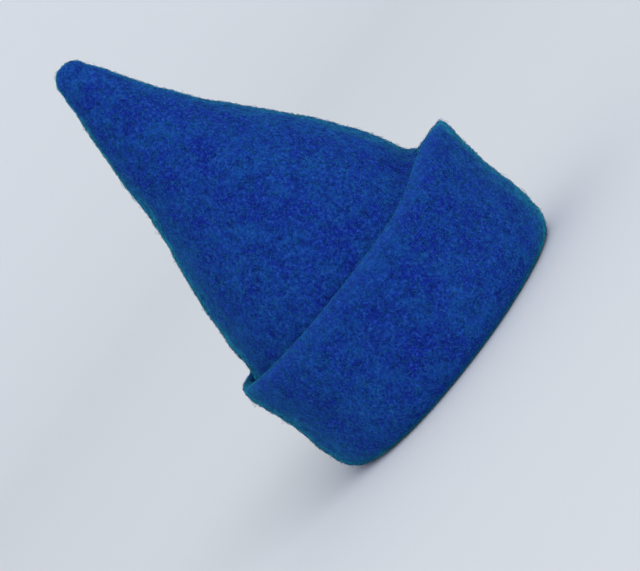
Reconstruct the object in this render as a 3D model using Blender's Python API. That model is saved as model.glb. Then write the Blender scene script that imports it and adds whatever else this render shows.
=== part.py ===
"""Pointed cap of fulled wool knit, with its rim turned up outside as a deep cuff.

The real cap is one knitted cone, fulled until it is a thick felt, whose last stretch is folded up
over the rest. So one wall of felt runs from the tip down the crown, round a soft fold at the rim
and up the cuff to its free edge, and the cap is one solid, open below where the head goes in.

Metres, +Z up, made from sizes in millimetres. The front is +X and the wearer's left is +Y. The cap
stands on its fold, which its weight flattens on z = 0, with the middle of its box on the Z axis.
"""

import bmesh
import bpy
import numpy as np

MM = 0.001

# Driving sizes in mm. Each section is given for the middle of the felt's thickness.
WALL = 6.5
TIP_TOP = 359.2
TIP_START = 350.0
FOLD_RADIUS = 4.0
CROWN_FOOT = WALL / 2 + FOLD_RADIUS
ROLL_REACH = 13.0  # the cuff's side of the fold is a wider, quarter-oval roll
ROLL_RISE = 18.0
CUFF_FOOT = WALL / 2 + ROLL_RISE
LIP_ROUNDING = 2.9
LIP_ANGLE = 60.0  # degrees: only the cut edge of the felt turns this sharply
SHARP_ANGLE = 50.0  # degrees: gentler turns are shaded smooth
EGG = 0.05  # how much wider the back half is than the front half, as a share of the width

FELT_BLUE = (0.010, 0.052, 0.280, 1.0)  # linear
FELT_ROUGHNESS = 0.95

# How finely the felt is cut into facets.
COLUMNS = 48
CROWN_ROWS = 24
TIP_ROWS = 3
CUFF_ROWS = 9
FOLD_ROWS = 3
ROLL_ROWS = 5

# The crown, a row for each section: where its back, front and sides are at each height. Under the
# cuff it swells out to the cuff, and near the cuff's free edge it draws in.
CROWN = np.array(
    [
        (CROWN_FOOT, -98.2, 101.6, 77.8),
        (30.0, -104.4, 108.6, 84.0),
        (60.0, -108.8, 113.0, 85.6),
        (80.0, -110.0, 114.4, 84.0),
        (95.0, -110.4, 114.6, 83.0),
        (103.0, -108.2, 111.4, 82.0),
        (110.0, -105.2, 103.6, 81.2),
        (117.0, -103.0, 95.6, 80.4),
        (125.0, -101.4, 91.8, 79.5),
        (135.0, -99.2, 89.6, 78.4),
        (150.0, -94.3, 85.2, 76.8),
        (180.0, -84.2, 73.0, 69.8),
        (210.0, -71.7, 58.2, 60.3),
        (240.0, -60.1, 42.2, 49.3),
        (270.0, -52.7, 26.0, 38.3),
        (300.0, -44.1, 13.2, 27.9),
        (330.0, -34.1, 2.6, 18.1),
        (TIP_START, -27.7, -5.5, 10.7),
    ],
    dtype=[("height", float), ("back", float), ("front", float), ("half_width", float)],
)

# The cuff, a row for each section: share is 0 above the roll and 1 at the free edge.
CUFF = np.array(
    [
        (0.00, -118.1, 121.0, 97.6),
        (0.12, -118.5, 122.8, 98.0),
        (0.38, -117.8, 122.6, 96.8),
        (0.61, -119.0, 123.3, 95.2),
        (0.78, -120.8, 124.6, 93.4),
        (0.91, -121.2, 126.7, 92.0),
        (1.00, -119.0, 126.0, 91.2),
    ],
    dtype=[("share", float), ("back", float), ("front", float), ("half_width", float)],
)

# Height of the cuff's free edge: it dips over the ears and peaks above the brow. The cuff was
# turned up a little deeper on the right side than on the left, most of all above the right temple.
EDGE_FRONT = 115.3
EDGE_SIDE = 105.0
EDGE_BACK = 107.5
EDGE_LEAN = 4.0  # how much higher the right side is, and lower the left, than EDGE_SIDE
EDGE_PEAK_POWER = 3  # the higher it is, the narrower the two peaks
TEMPLE_RISE = 9.0
TEMPLE_AZIMUTH = np.radians(-38.0)
TEMPLE_WIDTH = np.radians(22.0)

# Soft dents of the felt: push is in mm, outward if positive, and azimuth in degrees from the
# front towards the left. A dent fades over its width across and its length up the wall.
DENTS = np.array(
    [
        ("crown", -118.0, 205.0, 26.0, 34.0, -2.6),
        ("crown", -60.0, 165.0, 24.0, 26.0, 1.8),
        ("crown", -35.0, 240.0, 18.0, 30.0, -1.8),
        ("crown", 75.0, 190.0, 30.0, 32.0, -3.0),
        ("crown", 140.0, 255.0, 18.0, 26.0, 1.8),
        ("crown", 20.0, 285.0, 12.0, 24.0, -1.4),
        ("cuff", -37.0, 62.0, 26.0, 24.0, -1.2),
        ("cuff", -92.0, 80.0, 40.0, 9.0, -1.6),
        ("cuff", -150.0, 45.0, 28.0, 22.0, -2.0),
        ("cuff", -75.0, 40.0, 26.0, 20.0, 1.5),
        ("cuff", 60.0, 70.0, 30.0, 24.0, -1.0),
        ("cuff", 125.0, 50.0, 32.0, 24.0, 1.8),
    ],
    dtype=[
        ("region", "U5"),
        ("azimuth", float),
        ("height", float),
        ("across", float),
        ("up", float),
        ("push", float),
    ],
)

AZIMUTH = np.arange(COLUMNS) * 2 * np.pi / COLUMNS


def smooth(table, along, name, at):
    """Column name of a table read at one place, on the smooth cubic curve through its rows."""
    rows = table[along]
    values = table[name]
    slopes = np.gradient(values, rows)
    i = int(np.clip(np.searchsorted(rows, at) - 1, 0, len(rows) - 2))
    step = rows[i + 1] - rows[i]
    t = (at - rows[i]) / step
    start = (2 * t**3 - 3 * t**2 + 1) * values[i] + (t**3 - 2 * t**2 + t) * step * slopes[i]
    end = (3 * t**2 - 2 * t**3) * values[i + 1] + (t**3 - t**2) * step * slopes[i + 1]
    return start + end


def section(table, along, at):
    """Points of one section of the table, on an egg-shaped ring, with x and y in two columns."""
    back = smooth(table, along, "back", at)
    front = smooth(table, along, "front", at)
    half_width = smooth(table, along, "half_width", at)
    x = (front + back) / 2 + (front - back) / 2 * np.cos(AZIMUTH)
    y = half_width * np.sin(AZIMUTH) * (1 - EGG * np.cos(AZIMUTH))
    return np.stack([x, y], axis=1)


def dented(flat, heights, region):
    """The section with each of the region's dents pushed in or out, away from its middle."""
    middle = flat.mean(axis=0)
    arm = flat - middle
    radius = np.hypot(arm[:, 0], arm[:, 1])
    bearing = np.arctan2(arm[:, 1], arm[:, 0])
    moved = np.zeros(len(flat))
    for dent in DENTS[DENTS["region"] == region]:
        turn = bearing - np.radians(dent["azimuth"])
        turn = np.arctan2(np.sin(turn), np.cos(turn))
        across = turn * radius / dent["across"]
        up = (heights - dent["height"]) / dent["up"]
        moved += dent["push"] * np.exp(-(across**2 + up**2))
    return flat + arm / radius[:, None] * moved[:, None]


def raised(flat, heights):
    return np.column_stack([flat, heights])


def tip_rings():
    """Rings of the round tip, from near the pole down to where the crown starts."""
    widest = section(CROWN, "height", TIP_START)
    middle = widest.mean(axis=0)
    rings = []
    for row in range(1, TIP_ROWS + 1):
        angle = np.pi / 2 * row / (TIP_ROWS + 1)
        height = TIP_START + (TIP_TOP - TIP_START) * np.cos(angle)
        flat = middle + (widest - middle) * np.sin(angle)
        rings.append(raised(flat, np.full(COLUMNS, height)))
    return rings


def crown_rings():
    rings = []
    for height in np.linspace(TIP_START, CROWN_FOOT, CROWN_ROWS):
        heights = np.full(COLUMNS, height)
        flat = section(CROWN, "height", height)
        rings.append(raised(dented(flat, heights, "crown"), heights))
    return rings


def cuff_rings():
    """Rings of the cuff from the fold to the free edge, whose height depends on the azimuth."""
    ahead = np.cos(AZIMUTH)
    peak = np.abs(ahead) ** EDGE_PEAK_POWER
    rise = np.where(ahead > 0, EDGE_FRONT - EDGE_SIDE, EDGE_BACK - EDGE_SIDE)
    from_temple = np.arctan2(np.sin(AZIMUTH - TEMPLE_AZIMUTH), np.cos(AZIMUTH - TEMPLE_AZIMUTH))
    edge = EDGE_SIDE + rise * peak - EDGE_LEAN * np.sin(AZIMUTH)
    edge += TEMPLE_RISE * np.exp(-((from_temple / TEMPLE_WIDTH) ** 2))
    rings = []
    for share in np.linspace(0, 1, CUFF_ROWS + 1):
        heights = CUFF_FOOT + share * (edge - CUFF_FOOT)
        flat = section(CUFF, "share", share)
        rings.append(raised(dented(flat, heights, "cuff"), heights))
    return rings


def fold_rings(inner, outer):
    """Rings from the crown's last one to the cuff's first: a quarter circle down to the floor,
    a flat run on it, and a quarter oval up from it.
    """
    across = outer[:, :2] - inner[:, :2]
    way = across / np.linalg.norm(across, axis=1)[:, None]
    rings = []
    for angle in np.linspace(0, np.pi / 2, FOLD_ROWS + 1)[1:]:
        flat = inner[:, :2] + way * FOLD_RADIUS * (1 - np.cos(angle))
        heights = np.full(COLUMNS, CROWN_FOOT - FOLD_RADIUS * np.sin(angle))
        rings.append(raised(flat, heights))
    for angle in np.linspace(np.pi / 2, 0, ROLL_ROWS + 1)[:-1]:
        flat = outer[:, :2] - way * ROLL_REACH * (1 - np.cos(angle))
        heights = np.full(COLUMNS, CUFF_FOOT - ROLL_RISE * np.sin(angle))
        rings.append(raised(flat, heights))
    return rings


def felt_sheet():
    """The middle surface of the felt as a mesh: rings skinned one to the next, and a tip fan."""
    crown = crown_rings()
    cuff = cuff_rings()
    rings = tip_rings() + crown + fold_rings(crown[-1], cuff[0]) + cuff
    points = np.concatenate(rings)
    low = points.min(axis=0)
    high = points.max(axis=0)
    centre = np.array([(low[0] + high[0]) / 2, (low[1] + high[1]) / 2, 0.0])
    work = bmesh.new()
    loops = [[work.verts.new((place - centre) * MM) for place in ring] for ring in rings]
    for upper, lower in zip(loops[:-1], loops[1:]):
        for i in range(COLUMNS):
            work.faces.new((upper[i - 1], lower[i - 1], lower[i], upper[i]))
    cap = work.faces.new(loops[0])
    pole = bmesh.ops.poke(work, faces=[cap])["verts"][0]
    pole.co.z = TIP_TOP * MM
    bmesh.ops.recalc_face_normals(work, faces=work.faces)
    mesh = bpy.data.meshes.new("felt_cap")
    work.to_mesh(mesh)
    work.free()
    return mesh


def wool_felt():
    material = bpy.data.materials.new("royal_blue_wool_felt")
    material.use_nodes = True
    shader = material.node_tree.nodes["Principled BSDF"]
    shader.inputs["Base Color"].default_value = FELT_BLUE
    shader.inputs["Roughness"].default_value = FELT_ROUGHNESS
    shader.inputs["Metallic"].default_value = 0.0
    return material


for old in list(bpy.data.objects):
    bpy.data.objects.remove(old, do_unlink=True)

cap = bpy.data.objects.new("felt_cap", felt_sheet())
bpy.context.collection.objects.link(cap)
cap.data.materials.append(wool_felt())
cap.data.shade_smooth()
cap.data.set_sharp_from_angle(angle=np.radians(SHARP_ANGLE))

wall = cap.modifiers.new("wall", "SOLIDIFY")
wall.thickness = WALL * MM
wall.offset = 0.0
wall.use_even_offset = True
wall.use_quality_normals = True

lip = cap.modifiers.new("lip", "BEVEL")
lip.width = LIP_ROUNDING * MM
lip.segments = 2
lip.limit_method = "ANGLE"
lip.angle_limit = np.radians(LIP_ANGLE)
lip.use_clamp_overlap = False
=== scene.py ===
"""The looks of a pointed cap of fulled wool, whose rim is turned up outside as a deep cuff.

Metres, +Z up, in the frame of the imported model: the front of the cap is +X and the wearer's left
is +Y. The cap stands on its fold at z = 0, so its hollow for the head opens downward.
"""

import bpy
import numpy as np
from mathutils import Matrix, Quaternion, Vector


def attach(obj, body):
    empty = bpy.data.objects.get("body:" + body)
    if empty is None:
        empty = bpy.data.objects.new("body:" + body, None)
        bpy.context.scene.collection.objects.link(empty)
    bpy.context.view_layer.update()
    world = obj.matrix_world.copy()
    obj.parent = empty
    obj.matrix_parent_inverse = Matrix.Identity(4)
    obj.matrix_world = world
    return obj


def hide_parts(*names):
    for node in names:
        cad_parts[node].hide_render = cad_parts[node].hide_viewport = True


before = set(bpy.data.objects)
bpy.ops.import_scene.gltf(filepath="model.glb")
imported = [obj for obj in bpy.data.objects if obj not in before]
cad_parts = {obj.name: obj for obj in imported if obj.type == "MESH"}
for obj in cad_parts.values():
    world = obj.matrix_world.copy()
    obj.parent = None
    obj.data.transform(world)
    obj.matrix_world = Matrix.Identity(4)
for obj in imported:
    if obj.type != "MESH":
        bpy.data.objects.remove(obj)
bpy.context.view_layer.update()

# The felt. The real cap is knitted in wool as one long cone and fulled, washed hot until the
# stitches close into a thick cloth. Its last stretch is folded up outside as the cuff, so this
# piece is one wall of felt, 6.5 mm thick, from the tip down the crown and up to the cuff's edge.

# Sizes are in mm and angles in radians. The fold turns by FOLD_RADIUS under the crown and by
# ROLL_REACH and ROLL_RISE up to the cuff. The EDGE sizes are heights of the cuff's free edge, and
# the last LIP_REACH of the cuff's height is its rounded lip.
MM = 0.001
WALL = 6.5
TIP_TOP = 359.2
TIP_START = 350.0
FOLD_RADIUS = 4.0
CROWN_FOOT = WALL / 2 + FOLD_RADIUS
ROLL_REACH = 13.0
ROLL_RISE = 18.0
CUFF_FOOT = WALL / 2 + ROLL_RISE
CUFF_HEIGHT = 85.0
LIP_REACH = 3.0
SMOOTH_BELOW = 8.0
WAVY_ABOVE = 38.0
EDGE_FRONT = 115.3
EDGE_SIDE = 105.0
EDGE_BACK = 107.5
EDGE_LEAN = 4.0
EDGE_PEAK_POWER = 3
TEMPLE_RISE = 9.0
TEMPLE_AZIMUTH = np.radians(-38.0)
TEMPLE_WIDTH = np.radians(22.0)
EGG = 0.05

# The crown, a row for each section: where its back, front and sides are at each height.
CROWN = np.array(
    [
        (CROWN_FOOT, -98.2, 101.6, 77.8),
        (30.0, -104.4, 108.6, 84.0),
        (60.0, -108.8, 113.0, 85.6),
        (80.0, -110.0, 114.4, 84.0),
        (95.0, -110.4, 114.6, 83.0),
        (103.0, -108.2, 111.4, 82.0),
        (110.0, -105.2, 103.6, 81.2),
        (117.0, -103.0, 95.6, 80.4),
        (125.0, -101.4, 91.8, 79.5),
        (135.0, -99.2, 89.6, 78.4),
        (150.0, -94.3, 85.2, 76.8),
        (180.0, -84.2, 73.0, 69.8),
        (210.0, -71.7, 58.2, 60.3),
        (240.0, -60.1, 42.2, 49.3),
        (270.0, -52.7, 26.0, 38.3),
        (300.0, -44.1, 13.2, 27.9),
        (330.0, -34.1, 2.6, 18.1),
        (TIP_START, -27.7, -5.5, 10.7),
    ],
    dtype=[("height", float), ("back", float), ("front", float), ("half_width", float)],
)

# The cuff, a row for each section: share is 0 above the roll and 1 at the free edge.
CUFF = np.array(
    [
        (0.00, -118.1, 121.0, 97.6),
        (0.12, -118.5, 122.8, 98.0),
        (0.38, -117.8, 122.6, 96.8),
        (0.61, -119.0, 123.3, 95.2),
        (0.78, -120.8, 124.6, 93.4),
        (0.91, -121.2, 126.7, 92.0),
        (1.00, -119.0, 126.0, 91.2),
    ],
    dtype=[("share", float), ("back", float), ("front", float), ("half_width", float)],
)

# Soft dents: push is in mm, outward if positive, and azimuth in degrees from the front to the
# left. A dent fades over its width across and its length up the wall.
DENTS = np.array(
    [
        ("crown", -118.0, 205.0, 26.0, 34.0, -2.6),
        ("crown", -60.0, 165.0, 24.0, 26.0, 1.8),
        ("crown", -35.0, 240.0, 18.0, 30.0, -1.8),
        ("crown", 75.0, 190.0, 30.0, 32.0, -3.0),
        ("crown", 140.0, 255.0, 18.0, 26.0, 1.8),
        ("crown", 20.0, 285.0, 12.0, 24.0, -1.4),
        ("cuff", -37.0, 62.0, 26.0, 24.0, -1.2),
        ("cuff", -92.0, 80.0, 40.0, 9.0, -1.6),
        ("cuff", -150.0, 45.0, 28.0, 22.0, -2.0),
        ("cuff", -75.0, 40.0, 26.0, 20.0, 1.5),
        ("cuff", 60.0, 70.0, 30.0, 24.0, -1.0),
        ("cuff", 125.0, 50.0, 32.0, 24.0, 1.8),
    ],
    dtype=[
        ("region", "U5"),
        ("azimuth", float),
        ("height", float),
        ("across", float),
        ("up", float),
        ("push", float),
    ],
)

# The felt is a grid with a column for each azimuth. Its rows are counted here for the tip, the
# crown's outside, each of the two curves under the fold, the cuff's outside and the lip.
COLUMNS = 288
AZIMUTH = np.arange(COLUMNS) * 2 * np.pi / COLUMNS
TIP_ROWS = 8
CROWN_ROWS = 110
FOLD_ROWS = 12
CUFF_ROWS = 50
LIP_ROWS = 7


def column(table, along, name, places):
    """A column of a table at each place along it. Between two rows it is the cubic that meets
    their values, with the slopes of their neighbours' differences."""
    rows = table[along]
    values = table[name]
    slopes = np.gradient(values, rows)
    i = np.clip(np.searchsorted(rows, places) - 1, 0, len(rows) - 2)
    step = rows[i + 1] - rows[i]
    t = (places - rows[i]) / step
    start = (2 * t**3 - 3 * t**2 + 1) * values[i] + (t**3 - 2 * t**2 + t) * step * slopes[i]
    end = (3 * t**2 - 2 * t**3) * values[i + 1] + (t**3 - t**2) * step * slopes[i + 1]
    return (start + end)[:, None]


def sections(table, along, places, heights, region):
    """Sections as the rows of a grid. x goes from front to back with the cosine of the azimuth,
    y is the half width times its sine, and the back half is wider by EGG. A dent moves a point
    away from the middle by push * exp(-(turn * radius / across)**2 - (rise / up)**2)."""
    back = column(table, along, "back", places)
    front = column(table, along, "front", places)
    half_width = column(table, along, "half_width", places)
    x = (front - back) / 2 * np.cos(AZIMUTH)
    y = half_width * np.sin(AZIMUTH) * (1 - EGG * np.cos(AZIMUTH))
    heights = np.broadcast_to(heights, x.shape)
    radius = np.hypot(x, y)
    moved = np.zeros_like(radius)
    for dent in DENTS[DENTS["region"] == region]:
        turn = np.arctan2(y, x) - np.radians(dent["azimuth"])
        across = np.arctan2(np.sin(turn), np.cos(turn)) * radius / dent["across"]
        rise = (heights - dent["height"]) / dent["up"]
        moved += dent["push"] * np.exp(-(across**2) - rise**2)
    grown = 1 + moved / radius
    return np.stack([(front + back) / 2 + x * grown, y * grown, heights], axis=2)


def tip(angles):
    """The round tip: the crown's top section, drawn in to its middle by the sine of an angle
    from the pole and raised by the cosine."""
    rings = sections(CROWN, "height", np.full(len(angles), TIP_START), TIP_START, "tip")
    middle = rings.mean(axis=1, keepdims=True)
    rings = middle + (rings - middle) * np.sin(angles)[:, None, None]
    rings[..., 2] = TIP_START + (TIP_TOP - TIP_START) * np.cos(angles)[:, None]
    return rings


def cuff(shares):
    """The cuff: its free edge dips over the ears and rises with a power of the azimuth's cosine
    at the front and the back. The sine makes the right side higher than the left, and a bell
    curve raises the edge above the right temple. Every section lies at its share of the way up
    to that edge."""
    ahead = np.cos(AZIMUTH)
    rise = np.where(ahead > 0, EDGE_FRONT, EDGE_BACK) - EDGE_SIDE
    from_temple = np.arctan2(np.sin(AZIMUTH - TEMPLE_AZIMUTH), np.cos(AZIMUTH - TEMPLE_AZIMUTH))
    edge = EDGE_SIDE + rise * np.abs(ahead) ** EDGE_PEAK_POWER - EDGE_LEAN * np.sin(AZIMUTH)
    edge += TEMPLE_RISE * np.exp(-((from_temple / TEMPLE_WIDTH) ** 2))
    heights = CUFF_FOOT + shares[:, None] * (edge - CUFF_FOOT)
    return sections(CUFF, "share", shares, heights, "cuff")


def fold(inner, outer, rows):
    """The turn at the rim: a quarter circle from the crown down to the floor, then a quarter
    oval up to the cuff, both in the upright plane that joins the two."""
    way = (outer - inner) * (1, 1, 0)
    way /= np.linalg.norm(way, axis=1, keepdims=True)
    angles = (np.pi / 2 * np.arange(1, rows + 1) / rows)[:, None, None]
    down = inner + way * FOLD_RADIUS * (1 - np.cos(angles))
    down[..., 2] = CROWN_FOOT - FOLD_RADIUS * np.sin(angles[..., 0])
    up = outer - way * ROLL_REACH * (1 - np.cos(angles[::-1]))
    up[..., 2] = CUFF_FOOT - ROLL_RISE * np.sin(angles[::-1, :, 0])
    return np.concatenate([down, up])


def normals(grid):
    """Unit normals of a grid that closes round its columns: down it crossed with round it."""
    down = np.gradient(grid, axis=0)
    around = np.roll(grid, -1, axis=1) - np.roll(grid, 1, axis=1)
    cross = np.cross(down, around)
    return cross / np.linalg.norm(cross, axis=2, keepdims=True)


def waves(points, shortest, longest, count, seed):
    """A smooth unevenness of about -2 to 2 at each point: the sum of plane waves in seeded
    directions, with lengths in mm from the shortest to the longest, over its usual size."""
    random = np.random.default_rng(seed)
    ways = random.normal(size=(count, 3))
    ways /= np.linalg.norm(ways, axis=1, keepdims=True)
    lengths = random.uniform(shortest, longest, count)
    phases = points @ (ways * 2 * np.pi / lengths[:, None]).T + random.uniform(0, 6.28, count)
    return np.sin(phases).sum(axis=-1) / np.sqrt(count / 2)


def sheet(crown_rows, fold_rows, cuff_rows):
    """The middle of the felt on a grid: rows go from the tip to the free edge, columns round it.
    Waves as long as fulling leaves them push it in and out, by 0.3 mm if long and 0.12 mm if
    short. They fade by a smooth step from WAVY_ABOVE to SMOOTH_BELOW, where it lies flat."""
    heights = np.linspace(TIP_START, CROWN_FOOT, crown_rows)
    crown = sections(CROWN, "height", heights, heights[:, None], "crown")
    upturn = cuff(np.linspace(0, 1 - LIP_REACH / CUFF_HEIGHT, cuff_rows))
    top = tip(np.pi / 2 * np.arange(1, TIP_ROWS + 1) / (TIP_ROWS + 1))
    grid = np.concatenate([top, crown, fold(crown[-1], upturn[0], fold_rows), upturn])
    clear = np.clip((grid[..., 2] - SMOOTH_BELOW) / (WAVY_ABOVE - SMOOTH_BELOW), 0, 1)
    uneven = 0.3 * waves(grid, shortest=18, longest=48, count=24, seed=1)
    uneven += 0.12 * waves(grid, shortest=7, longest=15, count=40, seed=2)
    # The side that faces out on the crown faces in on the cuff, and a wave must not change sides.
    uneven[len(top) + crown_rows + fold_rows :] *= -1
    return grid + normals(grid) * (uneven * clear**2 * (3 - 2 * clear))[..., None]


def triangles_of(grid_rows):
    """Corner numbers of a grid's triangles, two for each cell, facing down crossed with round."""
    here = np.arange(grid_rows * COLUMNS).reshape(grid_rows, COLUMNS)
    beside = np.roll(here, -1, axis=1)
    lower = np.stack([here[:-1], here[1:], beside[1:]], axis=-1)
    upper = np.stack([here[:-1], beside[1:], beside[:-1]], axis=-1)
    return np.concatenate([lower.reshape(-1, 3), upper.reshape(-1, 3)])


def piece(name, points, triangles):
    """An object at the origin with these points, given in mm, and these triangles."""
    mesh = bpy.data.meshes.new(name)
    mesh.vertices.add(len(points))
    mesh.vertices.foreach_set("co", (points * MM).astype(np.float32).ravel())
    mesh.loops.add(triangles.size)
    mesh.loops.foreach_set("vertex_index", triangles.astype(np.int32).ravel())
    mesh.polygons.add(len(triangles))
    mesh.polygons.foreach_set("loop_start", np.arange(0, triangles.size, 3, dtype=np.int32))
    mesh.update(calc_edges=True)
    mesh.shade_smooth()
    made = bpy.data.objects.new(name, mesh)
    bpy.context.collection.objects.link(made)
    return made


# The right side of the cloth is the crown's outside and the cuff's hidden face. The wrong side
# is the cuff's outside, the underside of the fold and the crown's inside.
right = sheet(CROWN_ROWS, fold_rows=8, cuff_rows=24)
wrong = sheet(56, FOLD_ROWS, CUFF_ROWS)
middle = (right.min(axis=(0, 1)) + right.max(axis=(0, 1))) / 2 * (1, 1, 0)
right -= middle
wrong -= middle
edge_way = normals(right)[-1]
edge_up = right[-1] - right[-2]
edge_up /= np.linalg.norm(edge_up, axis=1, keepdims=True)
turn = np.linspace(0, np.pi, LIP_ROWS + 2)[1:-1, None, None]
lip = right[-1] + WALL / 2 * np.cos(turn) * edge_way + LIP_REACH * np.sin(turn) * edge_up
right_face = right + WALL / 2 * normals(right)
wrong_face = wrong - WALL / 2 * normals(wrong)
skin = np.concatenate([right_face, lip, wrong_face[::-1]])
skin[..., 2] = np.maximum(skin[..., 2], 0)

# Both ends of the grid are rings round a pole, which a fan of triangles closes.
tip_middle = right[0].mean(axis=0) * (1, 1, 0)
poles = tip_middle + np.array([(0, 0, TIP_TOP + WALL / 2), (0, 0, TIP_TOP - WALL / 2)])
ring = np.arange(COLUMNS)
after = np.roll(ring, -1)
last = (len(skin) - 1) * COLUMNS
outer_pole = np.full(COLUMNS, len(skin) * COLUMNS)
fans = np.concatenate(
    [
        np.stack([outer_pole, ring, after], axis=1),
        np.stack([outer_pole + 1, last + after, last + ring], axis=1),
    ]
)
felt = piece(
    "felt",
    np.concatenate([skin.reshape(-1, 3), poles]),
    np.concatenate([triangles_of(len(skin)), fans]),
)

# A painted highlight: the cuff's free edge is painted paler where its rounded top catches the
# light. The share of the pale colour is a bell curve of the distance from the edge, on the lip
# and on the cuff's outside.
EDGE_HIGHLIGHT_SHARE = 0.3
EDGE_HIGHLIGHT_REACH = 9.0
painted_edge_highlight = np.zeros(skin.shape[:2])
cuff_outside = slice(len(right), len(right) + LIP_ROWS + CUFF_ROWS)
from_edge = np.linalg.norm(skin[cuff_outside] - lip[LIP_ROWS // 2], axis=2)
painted_edge_highlight[cuff_outside] = EDGE_HIGHLIGHT_SHARE * np.exp(-((from_edge / EDGE_HIGHLIGHT_REACH) ** 2))
edge_highlight_attribute = felt.data.attributes.new("painted_edge_highlight", "FLOAT", "POINT")
edge_highlight_attribute.data.foreach_set("value", np.append(painted_edge_highlight, (0, 0)).astype(np.float32))


def linear(colour):
    """An sRGB hex colour as linear RGBA: c / 12.92 up to 0.04045, and beyond it
    ((c + 0.055) / 1.055)**2.4."""
    values = np.array([int(colour[i : i + 2], 16) for i in (1, 3, 5)]) / 255
    low = values / 12.92
    high = ((values + 0.055) / 1.055) ** 2.4
    return (*np.where(values <= 0.04045, low, high), 1.0)


def output(made):
    """A node's first output in use."""
    return next(s for s in made.outputs if s.enabled)


def node(tree, kind, inputs=None, **settings):
    """A new node with its settings. A named input gets a value, or a link from a socket or from
    another node's first output in use."""
    made = tree.nodes.new(kind)
    for name, value in settings.items():
        setattr(made, name, value)
    for name, value in (inputs or {}).items():
        socket = next(s for s in made.inputs if s.enabled and s.name == name)
        if isinstance(value, bpy.types.Node):
            value = output(value)
        if isinstance(value, bpy.types.NodeSocket):
            tree.links.new(value, socket)
        else:
            socket.default_value = value
    return made


# Fulled wool: matted fibres scatter all light, so it is matte and mottled, and its fuzz makes it
# paler at the outline. The dye took unevenly, so it drifts between a violet and a teal blue.
WOOL_VIOLET = "#102990"
WOOL_TEAL = "#124498"
WOOL_PALE = "#2859b5"
WOOL_DARK = "#061b69"
WOOL_TIP = "#3069c2"
FUZZ_SHEEN = "#20e0b4"
DYE_DRIFT = 18.0
CLUMP = 6.0
FLECK = 2.2

wool = bpy.data.materials.new("royal_blue_fulled_wool")
wool.use_nodes = True
tree = wool.node_tree
shader = tree.nodes["Principled BSDF"]
place = node(tree, "ShaderNodeTexCoord").outputs["Object"]


def noise(size):
    """The inputs of a noise with marks of this size in mm and two finer ones on them."""
    return {"Vector": place, "Scale": 1 / (size * MM), "Detail": 2.0, "Roughness": 0.6}


# A noise lies mostly between 0.3 and 0.7. In each Map Range, From Min is where a mark starts to
# show and From Max is where it is full.
drift = node(tree, "ShaderNodeTexNoise", noise(DYE_DRIFT))
clumps = node(tree, "ShaderNodeTexNoise", noise(CLUMP))
flecks = node(tree, "ShaderNodeTexNoise", noise(FLECK))
hue = node(
    tree, "ShaderNodeMapRange", {"Value": drift, "From Min": 0.36, "From Max": 0.64}, clamp=True
)
dyed = node(
    tree,
    "ShaderNodeMix",
    {"Factor": hue, "A": linear(WOOL_VIOLET), "B": linear(WOOL_TEAL)},
    data_type="RGBA",
)
light_flecks = node(
    tree,
    "ShaderNodeMapRange",
    {"Value": flecks, "From Min": 0.52, "From Max": 0.74, "To Max": 0.9},
    clamp=True,
)
paled = node(
    tree,
    "ShaderNodeMix",
    {"Factor": light_flecks, "A": dyed, "B": linear(WOOL_PALE)},
    data_type="RGBA",
)
dark_flecks = node(
    tree,
    "ShaderNodeMapRange",
    {"Value": flecks, "From Min": 0.48, "From Max": 0.28, "To Max": 0.9},
    clamp=True,
)
flecked = node(
    tree,
    "ShaderNodeMix",
    {"Factor": dark_flecks, "A": paled, "B": linear(WOOL_DARK)},
    data_type="RGBA",
)
dark_clumps = node(
    tree,
    "ShaderNodeMapRange",
    {"Value": clumps, "From Min": 0.5, "From Max": 0.25, "To Max": 0.8},
    clamp=True,
)
matted = node(
    tree,
    "ShaderNodeMix",
    {"Factor": dark_clumps, "A": flecked, "B": linear(WOOL_DARK)},
    data_type="RGBA",
)
# The painted highlight along the cuff's edge: the felt's colour is mixed toward the pale colour
# there.
edge_highlight_read = node(tree, "ShaderNodeAttribute", attribute_name="painted_edge_highlight")
highlighted = node(
    tree,
    "ShaderNodeMix",
    {"Factor": edge_highlight_read.outputs["Fac"], "A": matted, "B": linear(WOOL_PALE)},
    data_type="RGBA",
)
coarse = node(tree, "ShaderNodeBump", {"Strength": 0.6, "Distance": 0.9 * MM, "Height": clumps})
fine = node(
    tree,
    "ShaderNodeBump",
    {"Strength": 0.7, "Distance": 0.35 * MM, "Height": flecks, "Normal": coarse},
)
tree.links.new(output(highlighted), shader.inputs["Base Color"])
tree.links.new(fine.outputs["Normal"], shader.inputs["Normal"])


def woollen(shader):
    """The finish of all the wool: hardly any gloss, and a sheen of fuzz at grazing angles."""
    shader.inputs["Roughness"].default_value = 0.95
    shader.inputs["Specular IOR Level"].default_value = 0.08
    shader.inputs["Sheen Weight"].default_value = 0.9
    shader.inputs["Sheen Roughness"].default_value = 0.3
    shader.inputs["Sheen Tint"].default_value = linear(FUZZ_SHEEN)


woollen(shader)
felt.data.materials.append(wool)
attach(felt, "root")
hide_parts("felt_cap")

# The nap. Fulling and wear raise a fuzz of loose fibre ends and loops all over the felt, a few of
# them long. Real fibres are 0.03 mm thick, too fine to show in the render, so these are coarser.
FIBRE_THICKNESS = 0.22
ROOT_DEPTH = 0.3
CLEAR_OF_FLOOR = 2.5


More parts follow.
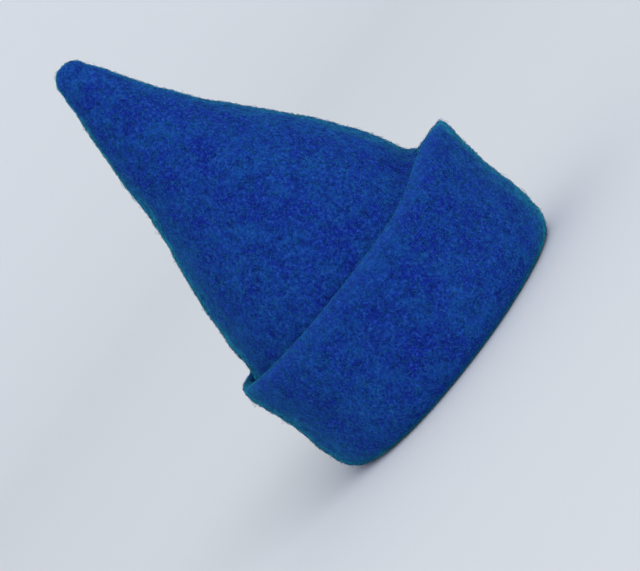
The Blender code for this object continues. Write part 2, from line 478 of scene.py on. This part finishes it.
def fibres(name, first, end, count, seed, length, lift, bends):
    """Closed three-sided fibres, pointed at both ends, at seeded places with an even spread over
    some rows of the felt's grid. Each lies along the felt by its length, arches off it by a
    parabola that starts and ends below the surface, and bows sideways by a sine."""
    random = np.random.default_rng(seed)
    here = skin[first : end - 1]
    down = skin[first + 1 : end] - here
    around = np.roll(here, -1, axis=1) - here
    outward = np.cross(down, around).reshape(-1, 3)
    area = np.linalg.norm(outward, axis=1)
    cells = np.searchsorted(np.cumsum(area) / area.sum(), random.random(count))
    spots = random.random((2, count, 1))
    roots = (
        here.reshape(-1, 3)[cells]
        + spots[0] * down.reshape(-1, 3)[cells]
        + spots[1] * around.reshape(-1, 3)[cells]
    )
    cells = cells[roots[:, 2] > CLEAR_OF_FLOOR]
    roots = roots[roots[:, 2] > CLEAR_OF_FLOOR]
    outward = outward[cells] / area[cells][:, None]
    level = around.reshape(-1, 3)[cells]
    level /= np.linalg.norm(level, axis=1, keepdims=True)
    heading = random.uniform(0, 2 * np.pi, (len(roots), 1))
    way = level * np.cos(heading) + np.cross(outward, level) * np.sin(heading)
    side = np.cross(outward, way)
    t = np.linspace(0, 1, bends + 2)[:, None]
    lengths = length * random.lognormal(0, 0.35, (len(roots), 1, 1))
    lifts = lift * random.lognormal(0, 0.5, (len(roots), 1, 1))
    bows = 0.15 * lengths * random.normal(size=(len(roots), 1, 1))
    spine = (
        roots[:, None]
        + way[:, None] * lengths * (t - 0.5)
        + outward[:, None] * ((lifts + ROOT_DEPTH) * 4 * t * (1 - t) - ROOT_DEPTH)
        + side[:, None] * bows * np.sin(np.pi * t * (bends + 1) / 2)
    )
    corners = 2 * np.pi / 3 * np.arange(3)[:, None]
    girth = side[:, None] * np.cos(corners) + outward[:, None] * np.sin(corners)
    tube = spine[:, 1:-1, None] + FIBRE_THICKNESS / 2 * girth[:, None]
    points = np.concatenate([spine[:, [0, -1]], tube.reshape(len(roots), -1, 3)], axis=1)
    pattern = []
    far_ring = 3 * bends - 1
    for corner, following in ((0, 1), (1, 2), (2, 0)):
        pattern.append((0, 2 + following, 2 + corner))
        pattern.append((1, far_ring + corner, far_ring + following))
        for near in range(2, far_ring, 3):
            far = near + 3
            pattern.append((near + corner, near + following, far + following))
            pattern.append((near + corner, far + following, far + corner))
    starts = np.arange(len(roots))[:, None, None] * (3 * bends + 2)
    points[..., 2] = np.maximum(points[..., 2], 0)
    made = piece(name, points.reshape(-1, 3), (starts + pattern).reshape(-1, 3))
    shades = made.data.attributes.new("shade", "FLOAT", "POINT")
    # Fibres near the cuff's edge are paler too, as part of the painted highlight along the edge.
    shade = random.random(len(roots)) + painted_edge_highlight[first : end - 1].ravel()[cells] / 2
    shades.data.foreach_set("value", np.repeat(shade, points.shape[1]).astype(np.float32))
    made.data.materials.append(fuzz)
    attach(made, "root")


# Loose wool fibres: the same dye as the felt, but each one catches the light by itself, so they
# stand out as pale and dark flecks and soften the outline.
fuzz = bpy.data.materials.new("raised_wool_fibres")
fuzz.use_nodes = True
fuzz_tree = fuzz.node_tree
fuzz_shader = fuzz_tree.nodes["Principled BSDF"]
shade_read = node(fuzz_tree, "ShaderNodeAttribute", attribute_name="shade")
fibre_colour = node(
    fuzz_tree,
    "ShaderNodeMix",
    {"Factor": shade_read.outputs["Fac"], "A": linear(WOOL_DARK), "B": linear(WOOL_TIP)},
    data_type="RGBA",
)
fuzz_tree.links.new(output(fibre_colour), fuzz_shader.inputs["Base Color"])
woollen(fuzz_shader)

# Each patch of the nap: the rows of the felt that it grows on, from first to before end, its
# number of fibres and its seed, their usual length and lift in mm, and the bends along each.
CROWN_SPLIT = 70
CROWN_END = TIP_ROWS + CROWN_ROWS
CUFF_START = len(right)
CUFF_END = CUFF_START + LIP_ROWS + CUFF_ROWS + 2 * FOLD_ROWS
NAP = np.array(
    [
        ("upper_crown_nap", 0, CROWN_SPLIT, 22000, 11, 3.2, 0.45, 1),
        ("lower_crown_nap", CROWN_SPLIT - 1, CROWN_END, 30000, 12, 3.2, 0.45, 1),
        ("cuff_nap", CUFF_START - 3, CUFF_END, 32000, 13, 3.2, 0.45, 1),
        ("hidden_nap", CROWN_END - 1, CUFF_START - 2, 9000, 14, 3.2, 0.4, 1),
        ("inner_nap", CUFF_END - 1, len(skin), 14000, 15, 3.2, 0.4, 1),
        ("crown_strays", 0, CROWN_END, 5000, 16, 5.0, 0.8, 3),
        ("cuff_strays", CUFF_START - 3, CUFF_END, 3500, 17, 5.0, 0.8, 3),
    ],
    dtype=[
        ("name", "U15"),
        ("first", int),
        ("end", int),
        ("count", int),
        ("seed", int),
        ("length", float),
        ("lift", float),
        ("bends", int),
    ],
)
for patch in NAP.tolist():
    fibres(*patch)

# The floor. A plain matt sheet of pale bluish-grey paper lies under the cap and curves up all
# round far behind it, so no horizon shows from any side. Its radii are in mm.
PAPER = "#dfe4ea"
FLAT_RADIUS = 2400.0
CURVE_RADIUS = 1600.0
FIRST_RADIUS = 60.0
PAPER_ROWS = 24

# The sheet's rings run from its far edge inward: a quarter circle down to the flat, then the flat.
bend = np.pi / 2 * np.arange(1, PAPER_ROWS + 1) / PAPER_ROWS
flat = np.linspace(FIRST_RADIUS, FLAT_RADIUS, PAPER_ROWS)
radii = np.concatenate([flat, FLAT_RADIUS + CURVE_RADIUS * np.sin(bend)])[::-1, None]
rises = np.concatenate([flat * 0, CURVE_RADIUS * (1 - np.cos(bend))])[::-1, None]
rises = np.broadcast_to(rises, (len(rises), COLUMNS))
paper = np.stack([radii * np.cos(AZIMUTH), radii * np.sin(AZIMUTH), rises], axis=2)
inmost = (len(paper) - 1) * COLUMNS
middle_fan = np.stack([np.full(COLUMNS, inmost + COLUMNS), inmost + ring, inmost + after], axis=1)
floor = piece(
    "floor",
    np.concatenate([paper.reshape(-1, 3), [(0, 0, 0)]]),
    np.concatenate([triangles_of(len(paper)), middle_fan]),
)
paper_material = bpy.data.materials.new("matt_paper")
paper_material.use_nodes = True
paper_shader = paper_material.node_tree.nodes["Principled BSDF"]
paper_shader.inputs["Base Color"].default_value = linear(PAPER)
paper_shader.inputs["Roughness"].default_value = 1.0
floor.data.materials.append(paper_material)

# The light. One large softbox in front of the cap, above it and on the camera's side, with even
# daylight from all round. Its distance and size are in metres.
LIGHT_WAY = Vector((0.42, -0.8, 0.62))
LIGHT_AIM = Vector((0.0, 0.0, 0.15))
LIGHT_DISTANCE = 8.0
LIGHT_SIZE = 6.0
LIGHT_POWER = 350
DAYLIGHT = "#fbfcfe"
DAYLIGHT_STRENGTH = 0.68

lamp = bpy.data.lights.new("softbox", "AREA")
lamp.size = LIGHT_SIZE
lamp.energy = LIGHT_POWER
softbox = bpy.data.objects.new("softbox", lamp)
softbox.location = LIGHT_WAY.normalized() * LIGHT_DISTANCE + LIGHT_AIM
softbox.rotation_euler = (-LIGHT_WAY).to_track_quat("-Z", "Y").to_euler()
bpy.context.collection.objects.link(softbox)
world = bpy.data.worlds.new("daylight")
world.use_nodes = True
background = world.node_tree.nodes["Background"]
background.inputs["Color"].default_value = linear(DAYLIGHT)
background.inputs["Strength"].default_value = DAYLIGHT_STRENGTH
bpy.context.scene.world = world

# The camera. It looks at the cap from its right side, a little from above, and is rolled as far
# as the cap is tilted back in the photograph. Its places are in metres and its roll in degrees.
LENS = 127.0
SENSOR = 36.0
CAMERA_AT = Vector((-0.0274, -1.692, 0.338))
CAMERA_AIM = Vector((-0.0274, 0.0, 0.1096))
ROLL = 52.0

view = bpy.data.cameras.new("camera")
view.lens = LENS
view.sensor_width = SENSOR
camera = bpy.data.objects.new("camera", view)
level = (CAMERA_AIM - CAMERA_AT).to_track_quat("-Z", "Y")
camera.rotation_euler = (level @ Quaternion((0, 0, 1), np.radians(-ROLL))).to_euler()
camera.location = CAMERA_AT
bpy.context.collection.objects.link(camera)
bpy.context.scene.camera = camera
bpy.context.scene.view_settings.view_transform = "Standard"
